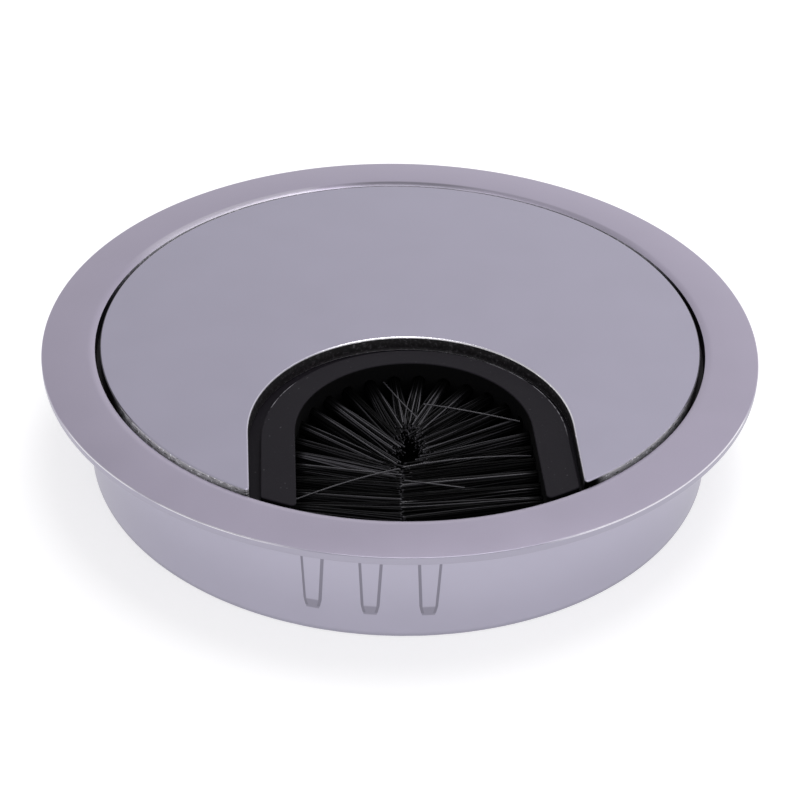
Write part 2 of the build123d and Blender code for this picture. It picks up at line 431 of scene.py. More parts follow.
class Spot:
    """Where a point of the part lies and how it is turned, as numbers in a node tree.

    Its measures are across (x), aside (x without its sign), along (y), level (z) and reach (from the axis).
    """

    def __init__(self, board: Board) -> None:
        """Adds the nodes that measure the point.

        Args:
            board: the material's tree.
        """
        self.board = board
        facing = board.facing()
        self.upright = facing.rise(0.75, 0.35)
        self.rounded = facing.rise(0.995, 0.93) * facing.rise(0.05, 0.25)
        self.across, self.along, self.level = board.axes(board.place())
        self.aside = self.across.size()
        self.reach = self.across.hypot(self.along)

    def within(self, mask: Any, **bands: Band) -> Any:
        """Narrows a mask by the soft steps of some measures.

        Args:
            mask: a number from 0 to 1.
            bands: each measure's band in millimetres, by its name.

        Returns:
            The mask times each step.
        """
        for measure, band in bands.items():
            mask = getattr(self, measure).step(band) * mask
        return mask


@dataclass(frozen=True)
class Finish:
    """One finish, whose kinds each add nodes of their own."""

    name: str

    def nodes(self, board: Board) -> None:
        """Adds the finish's nodes."""
        raise NotImplementedError

    def make(self) -> bpy.types.Material:
        """Builds the material.

        Returns:
            The material, with its nodes.
        """
        material = bpy.data.materials.new(self.name)
        self.nodes(Board(material))
        return material


@dataclass(frozen=True)
class SatinChrome(Finish):
    """Chrome over a fine-blasted zinc casting: level faces satin, upright walls glossier and pitted, with
    painted shade and highlights.
    """

    level_colour: Colour = (0.465, 0.442, 0.542)
    # Painted shade: upright walls of the same chrome a little darker than the level faces.
    shaded_wall_colour: Colour = (0.434, 0.416, 0.504)
    # Painted shade: the recess and inner walls at the front, and the tube's foot.
    painted_shade_grey: Colour = (0.250, 0.250, 0.300)
    # Painted highlight: the recess and inner walls at the back, pale and not metallic.
    recess_back_highlight: Colour = (0.800, 0.780, 0.860)
    # Painted shade on the roll round the back of the recess.
    roll_shade_grey: Colour = (0.200, 0.192, 0.225)
    # Painted shade colour for the ledge, the undersides, the lid's cut-out wall and its side wall.
    deep_shade_colour: Colour = (0.020, 0.018, 0.020)
    # Paler flecks in the painted shade of the lid's cut-out wall.
    shade_fleck_colour: Colour = (0.120, 0.114, 0.126)
    # Painted highlight colour for the back roll's left, the cut-out edge, the flange's corner and the lid's
    # glints.
    painted_highlight_colour: Colour = (0.950, 0.930, 0.980)
    # Painted shade: a darker copy of the chrome for the flange's side and the middle of its front corner.
    flange_shade_colour: Colour = (0.375, 0.358, 0.434)
    cut_out: Band = (0.2, 0.0)
    level_roughness: float = 0.40
    wall_roughness: float = 0.34
    cloud_strength: float = 0.06
    grain_strength: float = 0.16
    pit_strength: float = 0.9
    # How much the painted shade on the ribs darkens the chrome.
    crease_shade_strength: float = 0.75

    def edge(self, spot: Spot, corner: Shade) -> Shade:
        """Where an edge shines: round the cut-out, most at its back right, and on the flange's front corner.

        Args:
            spot: the point.
            corner: the flange's upper corner.

        Returns:
            How bright the edge is.
        """
        edge = spot.within(spot.rounded, reach=self.cut_out)
        edge = edge * (spot.across.step((-13.0, -6.0)) * 0.7 + 0.3)
        edge = edge * (spot.along.step((-27.0, -17.0)) * 0.6 + 0.4)
        # Random breaks in the painted highlight along the flange's corner.
        highlight_breaks = spot.board.noise(waves=160.0).rise(0.22, 0.50)
        return edge.most(spot.within(corner * highlight_breaks * 0.8, along=(-17.0, -23.0), aside=(12.0, 20.0)))

    def lid_rim(self, spot: Spot) -> tuple[Shade, Shade]:
        """The lid's side wall in the shade of the gap, and the upright flecks of light on its front.

        Args:
            spot: the point.

        Returns:
            How dark and how bright the wall is.
        """
        across = spot.across
        wall = spot.within(spot.upright, reach=(37.3, 37.5, 38.1, 37.95))
        corner = spot.within(spot.rounded * 0.85, reach=(37.4, 37.6, 38.1, 37.95), aside=(30.0, 34.0))
        left = across.step((-36.0, -32.0, 0.0, -1.0)) * (across.step((-18.0, -25.0)) * 0.55 + 0.45)
        right = across.step((20.0, 22.0, 37.5, 29.0)) * 0.8
        drawn = spot.board.vector(across * 0.4, spot.along * 0.4, spot.level * 2.4)
        flecks = spot.board.noise(waves=2300.0, detail=3.0, roughness=0.7, vector=drawn).rise(0.33, 0.47)
        glint = spot.within(wall * left.most(right) * flecks, along=(-6.0, -14.0), level=(14.2, 14.9))
        return wall.most(corner), glint

    def nodes(self, board: Board) -> None:
        """Adds the finish's nodes.

        Args:
            board: the material's tree.
        """
        spot = Spot(board)
        upright, level_face = spot.upright, 1 - spot.upright
        cloud = board.noise(waves=140.0, detail=3.0) - 0.5
        grain = board.noise(waves=9000.0, roughness=0.6)
        pits = board.noise(waves=2600.0, roughness=0.55).rise(0.56, 0.70)
        specks = board.noise(waves=2400.0, detail=3.0, roughness=0.7).rise(0.50, 0.72)

        inside = spot.within(upright, reach=(38.90, 38.75))
        back = spot.along.step((6.0, 22.0))
        roll = spot.within(1.0, reach=(38.35, 38.50, 39.60, 39.20), along=(15.0, 25.0))
        roll_shaded = spot.within(roll * 0.75, across=(-9.0, -1.0)) * (1 - spot.across.step((8.0, 17.0)) * 0.6)
        corner = spot.within(spot.rounded, reach=(44.70, 44.85), level=(15.6, 15.8))
        # The lid's cut-out wall, which gets painted shade.
        cut_wall_shade = spot.within(upright, reach=self.cut_out)
        edge = self.edge(spot, corner)
        rim, glint = self.lid_rim(spot)
        colour = board.paint(
            self.level_colour,
            # Painted shade: upright walls a little darker than the level faces.
            (upright, self.shaded_wall_colour),
            # Painted shade and painted highlight: upright walls inside the recess dark at the front, pale at
            # the back.
            (inside, board.between(back, self.painted_shade_grey, self.recess_back_highlight)),
            # Painted shade: the back roll darker from the middle to the right, less at the far right.
            (roll_shaded, self.roll_shade_grey),
            # Painted highlight on the left part of the back roll.
            (spot.within(roll * 0.3, across=(-8.0, -12.0)), self.painted_highlight_colour),
            # Painted shade: low level faces inside the recess, the ledge and the lid's underside, near black.
            (spot.within(level_face, reach=(38.9, 38.7), level=(15.2, 14.6)), self.deep_shade_colour),
            # Painted shade: the flange's side strip darker than the other walls.
            (spot.within(upright, reach=(44.75, 44.90)), self.flange_shade_colour),
            # Painted shade: the lid's cut-out wall dark, flecked paler at random.
            (cut_wall_shade, board.between(specks, self.deep_shade_colour, self.shade_fleck_colour)),
            # Painted shade: the flange's top corner dimmed at the front middle.
            (spot.within(corner, along=(-18.0, -30.0), aside=(24.0, 12.0)), self.flange_shade_colour),
            # Painted shade: the tube's outer wall darkened towards its foot.
            (spot.within(0.5, reach=(39.0, 39.3), level=(0.9, 0.2)), self.painted_shade_grey),
            # Painted highlight: the lid's cut-out edge, brightest at the back right, and the flange's top
            # corner at the front sides.
            (edge, self.painted_highlight_colour),
            # Painted shade: the lid's side wall, and its outer corner at the sides, dark in the gap.
            (rim, self.deep_shade_colour),
            # Painted highlight: flecks of light on the front of the lid's side wall.
            (glint, self.painted_highlight_colour))

        shade = cloud * self.cloud_strength + (grain - 0.5) * self.grain_strength * level_face + 1.0
        shade = shade + (pits - 0.3) * inside * self.pit_strength
        # Painted shade: the ribs' flanks and feet darkened by the value that the mesh carries.
        shade = shade * (1 - board.attribute("crease") * self.crease_shade_strength)
        tinted = board.add("VectorMath", {"operation": "MULTIPLY"},
                           {0: colour, 1: board.vector(shade, shade, shade)}).outputs[0]
        rough = cloud * self.cloud_strength + upright * (self.wall_roughness - self.level_roughness)
        rough = rough + self.level_roughness + cut_wall_shade * 0.2 - edge * 0.15
        height = grain * 0.6 * level_face + grain * 0.2 * upright + pits * inside
        plain = (cut_wall_shade * 0.7).most(glint.rise(0.0, 0.6)).most(inside * back)
        board.finish(Base_Color=tinted, Metallic=1 - plain, Roughness=rough,
                     Normal=board.bump(height, depth_mm=0.012, strength=0.35))


@dataclass(frozen=True)
class SparkErodedPlastic(Finish):
    """Black moulded plastic with the fine matte grain of a spark-eroded mould, walls painted dark as shade and
    a painted highlight on its edge.
    """

    colour: Colour = (0.0078, 0.0062, 0.0098)
    worn_colour: Colour = (0.0165, 0.0140, 0.0195)
    # Painted shade: upright walls near black, where the frame's own shade falls.
    shaded_wall_colour: Colour = (0.0012, 0.0011, 0.0014)
    dust_colour: Colour = (0.090, 0.087, 0.096)
    # Painted highlight colour of the frame's outer edge.
    edge_highlight_colour: Colour = (0.30, 0.29, 0.32)
    roughness: float = 0.60
    edge_highlight_roughness: float = 0.3
    shine: float = 0.14
    arch_x: float = 0.37
    arch_y: float = -22.0

    def outer_edge_highlight(self, board: Board) -> Shade:
        """Where the frame's outer edge gets a painted highlight: its arch is a circle, and its legs run
        straight to the front.

        Args:
            board: the material's tree.

        Returns:
            How bright the painted highlight is.
        """
        across, along, level = board.axes(board.place())
        behind = (along - self.arch_y * MM).most(0.0)
        reach = (across - self.arch_x * MM).hypot(behind)
        left = across.step((-13.0, -14.5)) * along.step((-17.0, -15.0))
        right = across.step((7.0, 12.0)) * along.step((-24.0, -19.0))
        edge = reach.step((17.84, 17.94)) * level.step((15.0, 15.2)) * left.most(right)
        return edge * board.noise(waves=900.0).rise(0.36, 0.60)

    def nodes(self, board: Board) -> None:
        """Adds the finish's nodes.

        Args:
            board: the material's tree.
        """
        grain = board.noise(waves=5200.0, detail=3.0, roughness=0.6)
        cloud = board.noise(waves=300.0) - 0.5
        wall = board.facing().rise(0.50, 0.10)
        dust = board.noise(waves=2300.0, detail=1.0).rise(0.74, 0.80) * (1 - wall)
        edge = self.outer_edge_highlight(board)
        colour = board.paint(
            self.colour,
            (grain.rise(0.58, 0.74) * 0.7 + cloud * 0.2, self.worn_colour),
            (dust * 0.5, self.dust_colour),
            # Painted shade: upright walls near black.
            (wall, self.shaded_wall_colour),
            # Painted highlight on the frame's outer edge, which also gets a glossy coat.
            (edge * 0.8, self.edge_highlight_colour))
        board.finish(Base_Color=colour, Roughness=cloud * 0.10 + self.roughness, Specular_IOR_Level=self.shine,
                     Coat_Weight=edge, Coat_Roughness=self.edge_highlight_roughness,
                     Normal=board.bump(grain, depth_mm=0.02, strength=0.6))


@dataclass(frozen=True)
class BlackNylon(Finish):
    """Black nylon filament with a slight sheen, a little greyer from one filament to the next, and painted
    lighter where light falls.
    """

    colour: Colour = (0.0006, 0.0006, 0.0007)
    # Painted light: the grey of the lit filaments.
    lit_grey_colour: Colour = (0.0500, 0.0475, 0.0550)
    # Cut tips paler, the more so on filaments with more painted light.
    tip_colour: Colour = (0.085, 0.082, 0.092)
    roughness: float = 0.45
    shine: float = 0.05
    gloss: float = 0.9
    gloss_roughness: float = 0.20
    lit_power: float = 3.5

    def nodes(self, board: Board) -> None:
        """Adds the finish's nodes.

        Args:
            board: the material's tree.
        """
        strand, tip = board.attribute("strand"), board.attribute("tip")
        dust = board.noise(waves=900.0)
        lit = strand ** self.lit_power
        share = lit * ((dust - 0.5) * 0.6 + 1.0)
        # Painted light and random tone: filaments lighter and glossier by the value that they carry.
        colour = board.paint(
            self.colour,
            (share.most(0.0).least(1.0), self.lit_grey_colour),
            (tip * (strand * 0.7 + 0.3), self.tip_colour))
        board.finish(Base_Color=colour, Roughness=(dust - 0.5) * 0.12 + self.roughness,
                     Specular_IOR_Level=self.shine, Coat_Weight=lit * self.gloss,
                     Coat_Roughness=self.gloss_roughness, Normal=board.bump(dust, depth_mm=0.01, strength=0.3))


@dataclass(frozen=True)
class ZincPlate(Finish):
    """Zinc-plated screw steel: pale, lightly brushed round, cloudy."""

    colour: Colour = (0.56, 0.55, 0.52)
    dull_colour: Colour = (0.40, 0.39, 0.38)
    roughness: float = 0.32

    def nodes(self, board: Board) -> None:
        """Adds the finish's nodes.

        Args:
            board: the material's tree.
        """
        cloud = board.noise(waves=700.0, detail=3.0)
        marks = board.noise(waves=6000.0)
        colour = board.between(cloud.rise(0.35, 0.65), self.colour, self.dull_colour)
        board.finish(Base_Color=colour, Metallic=1.0, Roughness=(cloud - 0.5) * 0.2 + self.roughness,
                     Normal=board.bump(marks, depth_mm=0.008, strength=0.5))


@dataclass(frozen=True)
class PaleFloor(Finish):
    """A white studio floor that shows white where no shadow falls, to the camera and in reflections, and near
    black under the tube as painted shade.
    """

    colour: Colour = (0.80, 0.80, 0.80)
    # Painted shade: the floor inside the tube's foot, near black.
    covered_shade_colour: Colour = (0.01, 0.01, 0.01)
    seen_share: float = 0.75
    own_light: float = 0.58
    covered: Band = (38.4, 38.9)

    def nodes(self, board: Board) -> None:
        """Adds the finish's nodes.

        Args:
            board: the material's tree.
        """
        path = board.add("LightPath").outputs
        seen = Shade(board, path["Is Camera Ray"]).most(Shade(board, path["Is Glossy Ray"]))
        seen = seen.most(Shade(board, path["Is Transmission Ray"]))
        across, along, _ = board.axes(board.place())
        open_floor = across.hypot(along).step(self.covered)
        dimmed = tuple(value * self.seen_share for value in self.colour)
        # The floor near black inside the tube's foot: painted shade.
        plain, part = (board.add("BsdfDiffuse", None,
                                 {"Color": board.between(open_floor, self.covered_shade_colour, colour)})
                       for colour in (self.colour, dimmed))
        glow = board.add("Emission", None, {"Strength": self.own_light})
        both = board.add("AddShader", None, {0: part.outputs[0], 1: glow.outputs[0]})
        mixed = board.add("MixShader", None, {0: seen * open_floor, 1: plain.outputs[0], 2: both.outputs[0]})
        board.add("OutputMaterial", None, {"Surface": mixed.outputs[0]})


def dress(piece: Piece, material: bpy.types.Material) -> None:
    """Gives a piece one material in all its slots.

    Args:
        piece: a new piece or a CAD node.
        material: its finish.
    """
    if not piece.material_slots:
        piece.data.materials.append(material)
    for slot in piece.material_slots:
        slot.material = material


def seat(piece: Piece, slot: str, *nodes: str) -> None:
    """Puts a new piece on the body, in the place of its CAD nodes.

    Args:
        piece: the new piece.
        slot: the record's material slot, not used.
        nodes: the CAD nodes that it stands for.
    """
    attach(piece, "root")
    if nodes:
        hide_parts(*nodes)
    LOG.info("%s: %d faces", piece.name, len(piece.data.polygons))


# Housing

@dataclass
class Housing:
    """The casting: flange, tube, recess and ledge in one turned section, with crush ribs. Millimetres."""

    flange_radius: float = 45.0
    flange_under: float = 15.0
    top: float = 16.0
    tube_radius: float = 39.95
    tube_inner: float = 38.45
    recess_radius: float = 38.45
    roll_width: float = 1.0
    roll_depth: float = 0.22
    ledge_inner: float = 37.2
    ledge_top: float = 14.11
    ledge_under: float = 12.61
    rib_groups: int = 3
    ribs_in_group: int = 3
    rib_pitch_deg: float = 9.5
    rib_turn_deg: float = -8.1
    rib_top_width: float = 3.15
    rib_foot_width: float = 2.1
    rib_narrow_width: float = 1.5
    rib_top_proud: float = 0.2
    rib_foot_proud: float = 0.16
    rib_foot: float = 3.25
    rib_shoulder: float = 4.65
    rib_head: float = 15.5
    rib_run: float = 0.35
    rib_start: float = 0.15
    round_small: float = 0.12
    round_flange: float = 0.15
    round_foot: float = 0.4
    round_steps: int = 7
    wall_levels: tuple[float, ...] = (1.2, 2.2, 3.0, 3.25, 3.4, 3.55, 3.7, 3.85, 4.0, 4.15, 4.3, 4.45, 4.6, 4.8,
                                      6.0, 8.0, 10.0, 12.0, 13.4, 14.4)
    flank_offsets: tuple[float, ...] = (0.75, 0.39, 0.35, 0.31, 0.04, 0.0)
    flank_heights: tuple[float, ...] = (0.0, 0.0, 0.02, 0.12, 0.98, 1.0)
    fill_step_deg: float = 0.9
    # Painted shade on the crush ribs: how far their flanks and feet darken.
    flank_shade: float = 0.60
    foot_shade: float = 0.42

    def section(self) -> Array:
        """The closed section in radius and height, with extra levels up the tube's outer wall.

        Returns:
            Points, (count, 2).
        """
        square = self.roll_width ** 2 + self.roll_depth ** 2
        roll_corner = self.recess_radius + self.roll_width - square / (2 * self.roll_width)
        roll_round = 0.98 * square / (2 * self.roll_depth)
        small, flange = self.round_small, self.round_flange
        hollow, recess, ledge = self.tube_inner, self.recess_radius, self.ledge_inner
        lower = [(hollow, 0.0, small), (self.tube_radius, 0.0, self.round_foot)]
        upper = [(self.tube_radius, self.flange_under, small), (self.flange_radius, self.flange_under, flange),
                 (self.flange_radius, self.top, flange), (roll_corner, self.top, roll_round),
                 (recess, self.top - self.roll_depth, 0.01), (recess, self.ledge_top, small),
                 (ledge, self.ledge_top, small), (ledge, self.ledge_under, small),
                 (hollow, self.ledge_under, small)]
        points = rounded_profile(lower + upper, self.round_steps)
        below = len(lower) * self.round_steps
        wall = np.stack([np.full(len(self.wall_levels), self.tube_radius), self.wall_levels], 1)
        return np.concatenate([points[:below], wall, points[below:]])

    def rib_width(self, level: Array) -> Array:
        """The ribs' width at each level: straight from foot to shoulder, and from shoulder to head."""
        marks = [self.rib_foot, self.rib_shoulder, self.rib_head]
        return np.interp(level, marks, [self.rib_narrow_width, self.rib_foot_width, self.rib_top_width])

    def rib_proud(self, level: Array) -> Array:
        """How far the ribs stand out at each level: straight from foot to shoulder, and on to the head."""
        marks = [self.rib_foot, self.rib_foot + self.rib_start, self.rib_shoulder, self.rib_head]
        return np.interp(level, marks, [0.0, 0.0, self.rib_foot_proud, self.rib_top_proud])

    def columns(self) -> tuple[Array, ...]:
        """The grid's columns: fifteen across each rib, and evenly spaced ones between the ribs.

        Returns:
            Of each column the angle in radians, the offset in millimetres, and the shares of the crest's half
            width and of the rib's height.
        """
        side, flank = np.array(self.flank_offsets), np.array(self.flank_heights)
        offset = np.concatenate([-side, np.zeros(3), side[::-1]])
        share = np.concatenate([-np.ones(len(side)), [-0.5, 0.0, 0.5], np.ones(len(side))])
        raised = np.concatenate([flank, np.ones(3), flank[::-1]])
        centres = np.radians([self.rib_turn_deg + 360 / self.rib_groups * group
                              + self.rib_pitch_deg * (place - (self.ribs_in_group - 1) / 2)
                              for group in range(self.rib_groups) for place in range(self.ribs_in_group)])
        gaps = np.roll(centres, -1) - centres
        gaps[-1] += 2 * np.pi
        half = (self.rib_top_width / 2 + side[0]) / self.tube_radius
        blocks = []
        for centre, gap in zip(centres, gaps):
            fill = np.arange(centre + half, centre + gap - half, np.radians(self.fill_step_deg))[1:-1]
            blocks.append([np.full(len(offset), centre), offset, share, raised])
            blocks.append([fill, *np.zeros((3, len(fill)))])
        return tuple(np.concatenate(column) for column in zip(*blocks))

    def build(self) -> Piece:
        """Turns the section about the axis.

        A point's radius is the section's plus the rib's height there. Its angle is the column's plus the rib's
        width over the radius.

        Returns:
            The casting.
        """
        section = self.section()
        angle, fixed, crest, height = self.columns()
        level = section[:, 1:2]
        on_wall = (np.abs(section[:, 0:1] - self.tube_radius) < 0.15) & (level > 0.5)
        half = self.rib_width(level) / 2 - self.rib_run
        turn = angle[None, :] + (fixed[None, :] + crest[None, :] * half) / self.tube_radius
        proud = np.where(on_wall, self.rib_proud(level), 0.0)
        radius = section[:, 0:1] + proud * height[None, :]
        upright = np.broadcast_to(level, turn.shape)
        points = np.stack([radius * np.sin(turn), -radius * np.cos(turn), upright], -1)
        # Painted shade: the ribs' sloped flanks and their feet get values that darken the chrome.
        flank = ((np.abs(fixed) > 0.01) & (np.abs(fixed) < 0.38))[None, :] * (level > self.rib_foot + 0.3)
        foot = ((level > self.rib_foot + 0.1) & (level < self.rib_shoulder)) * (height[None, :] > 0.1)
        crease = np.clip(flank * self.flank_shade + foot * self.foot_shade, 0, self.flank_shade) * on_wall
        shell = Shell()
        shell.add(points.reshape(-1, 3), [ring_faces(*turn.shape, close_rows=True)], crease.ravel())
        return shell.make("housing_casting", 50.0)


@dataclass
class Lid:
    """The lid: a disc with an arch cut out to its front edge, four bosses below. Millimetres."""

    radius: float = 37.82
    under: float = 14.11
    top: float = 16.11
    cutout_radius: float = 19.15
    arch_y: float = -21.15
    leg_taper_deg: float = 1.2
    corner_round: float = 0.35
    edge_round: float = 0.2
    under_round: float = 0.15
    boss_radius: float = 2.0
    boss_hole: float = 1.05
    boss_under: float = 12.81
    boss_arch_radius: float = 21.75
    boss_shift: float = 0.37
    boss_turn_deg: float = 30.0
    boss_forward: float = 3.1
    boss_columns: int = 40
    rim_points: int = 420
    arch_points: int = 200
    corner_points: int = 14
    leg_points: int = 8

    def outline(self) -> tuple[Array, Array]:
        """The lid's outline, with the metal on the left: rim, left side, arch, and right side.

        Returns:
            Points, and at each the direction that points off the metal, (count, 2) both.
        """
        taper = math.radians(self.leg_taper_deg)
        centre, mirror = np.array([0.0, self.arch_y]), np.array([-1.0, 1.0])
        off_leg = np.array([math.cos(taper), -math.sin(taper)])
        down_leg = np.array([-math.sin(taper), -math.cos(taper)])
        beside = centre + off_leg * (self.cutout_radius + self.corner_round)
        along = float(beside @ down_leg)
        run = -along + math.sqrt(along ** 2 - float(beside @ beside) + (self.radius - self.corner_round) ** 2)
        corner = beside + down_leg * run
        turn = math.atan2(corner[1], corner[0])
        rim = circle(np.linspace(turn, np.pi - turn, self.rim_points))
        arch = circle(np.linspace(np.pi + taper, -taper, self.arch_points))
        round_off = circle(np.linspace(np.pi - taper, 2 * np.pi + turn, self.corner_points)[:-1])
        rim_line, arch_line = rim * self.radius, centre + arch * self.cutout_radius
        corner_line = corner + round_off * self.corner_round
        share = np.linspace(0, 1, self.leg_points + 2)[1:-1, None]
        leg_line = arch_line[-1] * (1 - share) + corner_line[0] * share
        side = np.concatenate([leg_line, corner_line])
        side_ways = np.concatenate([np.tile(-off_leg, (self.leg_points, 1)), round_off])
        return (np.concatenate([rim_line, side[::-1] * mirror, arch_line, side]),
                np.concatenate([rim, side_ways[::-1] * mirror, -arch, side_ways]))

    def build(self) -> Piece:
        """Carries the edge's section round the outline and caps both faces.

        A point is the outline's, less the direction there times the section's inset.

        Returns:
            The lid.
        """
        points, ways = self.outline()
        low, high = np.linspace(0, np.pi / 2, 5), np.linspace(0, np.pi / 2, 9)
        inset = np.concatenate([[self.under_round + 0.1], self.under_round * (1 - np.sin(low)),
                                self.edge_round * (1 - np.cos(high)), [self.edge_round + 0.06]])
        level = np.concatenate([[self.under], self.under + self.under_round * (1 - np.cos(low)),
                                self.top - self.edge_round * (1 - np.sin(high)), [self.top]])
        grid = points[None] - ways[None] * inset[:, None, None]
        rows, columns = grid.shape[:2]
        grid = np.concatenate([grid, np.broadcast_to(level[:, None, None], (rows, columns, 1))], -1)
        cap = np.arange(columns)[None, :]
        shell = Shell()
        shell.add(grid.reshape(-1, 3), [ring_faces(rows, columns), cap[:, ::-1], cap + (rows - 1) * columns])
        head = self.under + 0.2
        boss = [(self.boss_hole, self.boss_under, 0.1), (self.boss_radius, self.boss_under, 0.15),
                (self.boss_radius, head, 0.05), (self.boss_hole, head, 0.05)]
        for place in self.boss_places():
            shell.add(*turned(boss, place, self.boss_columns))
        return shell.make("lid_plate", 50.0)

    def boss_places(self) -> list[tuple[float, float]]:
        """The bosses' places: two behind the arch and one beside each leg.

        Returns:
            x and y of each.
        """
        places = []
        for side in Side:
            turn = math.radians(90 - side.value * self.boss_turn_deg)
            reach = self.boss_arch_radius
            places.append((self.boss_shift + reach * math.cos(turn), self.arch_y + reach * math.sin(turn)))
            places.append((self.boss_shift + side.value * reach, self.arch_y - self.boss_forward))
        return places


def turned(corners: Sequence[Point], at: tuple[float, float], columns: int) -> tuple[Array, Faces]:
    """A closed section turned about an upright axis: a point is the axis's place plus radius times (cos, sin).

    Args:
        corners: (radius, height, rounding) of the section's corners.
        at: the axis's place.
        columns: steps round.

    Returns:
        Points and faces.
    """
    section = rounded_profile(corners, 4)
    turn = np.linspace(0, 2 * np.pi, columns, endpoint=False)[None, :]
    radius = section[:, 0:1]
    points = np.stack([at[0] + radius * np.cos(turn), at[1] + radius * np.sin(turn),
                       np.broadcast_to(section[:, 1:2], (len(section), columns))], -1)
    return points.reshape(-1, 3), [ring_faces(len(section), columns, close_rows=True)]


# Brush

@dataclass
class Brush:
    """The bristles: a bundle of curved nylon filaments in each hole of the frame. Millimetres.

    Each tuft leans to its own tip: the legs' tips meet in a seam left of the middle, and the arch's stand
    round a narrow oval gap. A stray is a tuft's number and the root, middle and tip of a loose filament in it.
    """

    opening_radius: float = 14.05
    opening_x: float = 0.37
    arch_y: float = -20.85
    level: float = 12.66
    arch_tufts: int = 14
    leg_spacing: float = 2.45
    front_y: float = -31.785
    filaments: int = 40
    filament_radius: float = 0.088
    plug_radius: float = 0.68
    tips: tuple[tuple[float, float], ...] = (
        (-1.80, -33.4), (-1.75, -31.2), (-1.70, -29.1), (-1.60, -27.6), (-1.90, -26.6), (-2.20, -25.6),
        (-2.50, -25.0), (-2.30, -24.6), (-1.70, -21.5), (-1.70, -19.6), (-1.30, -18.2), (-0.60, -17.4),
        (0.00, -17.0), (0.40, -17.4), (0.90, -18.2), (1.00, -19.2), (1.30, -20.6), (1.90, -22.4),
        (1.20, -24.2), (-0.60, -25.6), (-1.30, -26.8), (-1.60, -28.8), (-1.75, -31.1), (-1.80, -33.4))
    strays: tuple[tuple[float, ...], ...] = (
        (12, -2.5, -7.9, 13.3, -0.7, -12.9, 13.9, 1.0, -16.3, 13.9),
        (19, 13.4, -16.9, 13.4, 7.0, -15.4, 14.1, 2.0, -14.0, 14.2),
        (2, -14.0, -30.9, 13.2, -7.5, -28.4, 13.8, -1.7, -26.3, 13.8),
        (22, 5.6, -29.9, 13.6, 2.2, -29.2, 13.7, -1.2, -28.4, 13.7),
        (20, 14.0, -23.6, 13.2, 6.2, -24.6, 13.8, -1.2, -26.0, 13.8))
    leg_spread: float = 1.5
    front_spread: float = 2.1
    arch_spread: float = 0.95
    end_y: float = -34.7
    dark_root: float = 3.6
    sides: int = 6
    steps: int = 10
    seed: int = 7
    leg_tufts: int = 5
    root_depth: float = 0.3
    tip_scatter: float = 0.16
    tip_rise: float = 0.06
    leg_length_scatter: float = 0.05
    arch_length_scatter: float = 0.40
    bend_scatter: float = 0.20
    blunt_at: float = 0.985

    def places(self) -> list[tuple[Array, Array]]:
        """Each tuft's place, from the left leg round to the right leg.

        Returns:
            The root and the inward direction of each.
        """
        rows = [self.front_y + place * self.leg_spacing for place in range(self.leg_tufts)]
        left, right = self.opening_x - self.opening_radius, self.opening_x + self.opening_radius
        found = [(np.array([left, y]), np.array([1.0, 0.0])) for y in rows]
        for place in range(self.arch_tufts):
            turn = math.pi * (1 - (place + 0.5) / self.arch_tufts)
            way = np.array([math.cos(turn), math.sin(turn)])
            found.append((np.array([self.opening_x, self.arch_y]) + way * self.opening_radius, -way))
        return found + [(np.array([right, y]), np.array([-1.0, 0.0])) for y in reversed(rows)]

    def tuft_lines(self, number: int, root: Array, inward: Array, chance: np.random.Generator) -> Array:
        """The filaments' centre lines.

        Each is a cubic curve that leaves square to the wall and bends to its tip. The roots fill the hole like
        a sunflower's seeds.

        Args:
            number: the tuft's place, from 0.
            root: the hole's place on the wall.
            inward: the hole's direction.
            chance: the source of small differences.

        Returns:
            Points, (filaments, steps, 3).
        """
        count = self.filaments
        across = np.array([-inward[1], inward[0]])
        order = np.arange(count)
        ring = self.plug_radius * np.sqrt((order + 0.5) / count)
        turn = order * GOLDEN_TURN
        sideways, up = ring * np.cos(turn), ring * np.sin(turn)
        start = np.zeros((count, 3))
        start[:, :2] = root - inward * self.root_depth + across * sideways[:, None]
        start[:, 2] = self.level + up
        share_s, share_u = sideways / self.plug_radius, up / self.plug_radius
        goal = np.array(self.tips[number])
        line = goal - root
        line /= np.linalg.norm(line)
        beside = np.array([-line[1], line[0]])
        ends = number in (0, len(self.tips) - 1)
        on_leg = inward[1] == 0
        spread = (self.front_spread if ends else self.leg_spread) if on_leg else self.arch_spread
        tip = np.zeros((count, 3))
        tip[:, :2] = goal + beside * (share_s * spread + chance.normal(0, self.tip_scatter, count))[:, None]
        length_scatter = self.leg_length_scatter if on_leg else self.arch_length_scatter
        tip[:, :2] += line * chance.normal(0.0, length_scatter, count)[:, None]
        tip[:, 1] = np.maximum(tip[:, 1], self.end_y)
        height = share_u * (0.75 if on_leg else 1.0)
        tip[:, 2] = self.level + height + chance.normal(0, self.tip_rise, count)
        length = np.linalg.norm(tip - start, axis=1)[:, None]
        first = start + (tip - start) * 0.30 + np.append(inward, 0.0) * length * 0.04
        drift = np.append(across, 0.0) * chance.normal(0, self.bend_scatter, (count, 1))
        drift[:, 2] += chance.normal(-0.03, 0.10, count)
        second = start + (tip - start) * 0.68 + drift
        share = self.shares()[None, :, None]
        back = 1 - share
        lines = (back ** 3 * start[:, None] + 3 * back ** 2 * share * first[:, None]
                 + 3 * back * share ** 2 * second[:, None] + share ** 3 * tip[:, None])
        for tuft, *marks in self.strays:
            if tuft == number + 1:
                lines = np.concatenate([lines, self.stray_line(np.array(marks).reshape(3, 3))])
        return lines

    def shares(self) -> Array:
        """Each ring's share of its filament's length, with the last two close together at the cut tip."""
        return np.append(np.linspace(0, self.blunt_at, self.steps - 1), 1.0)

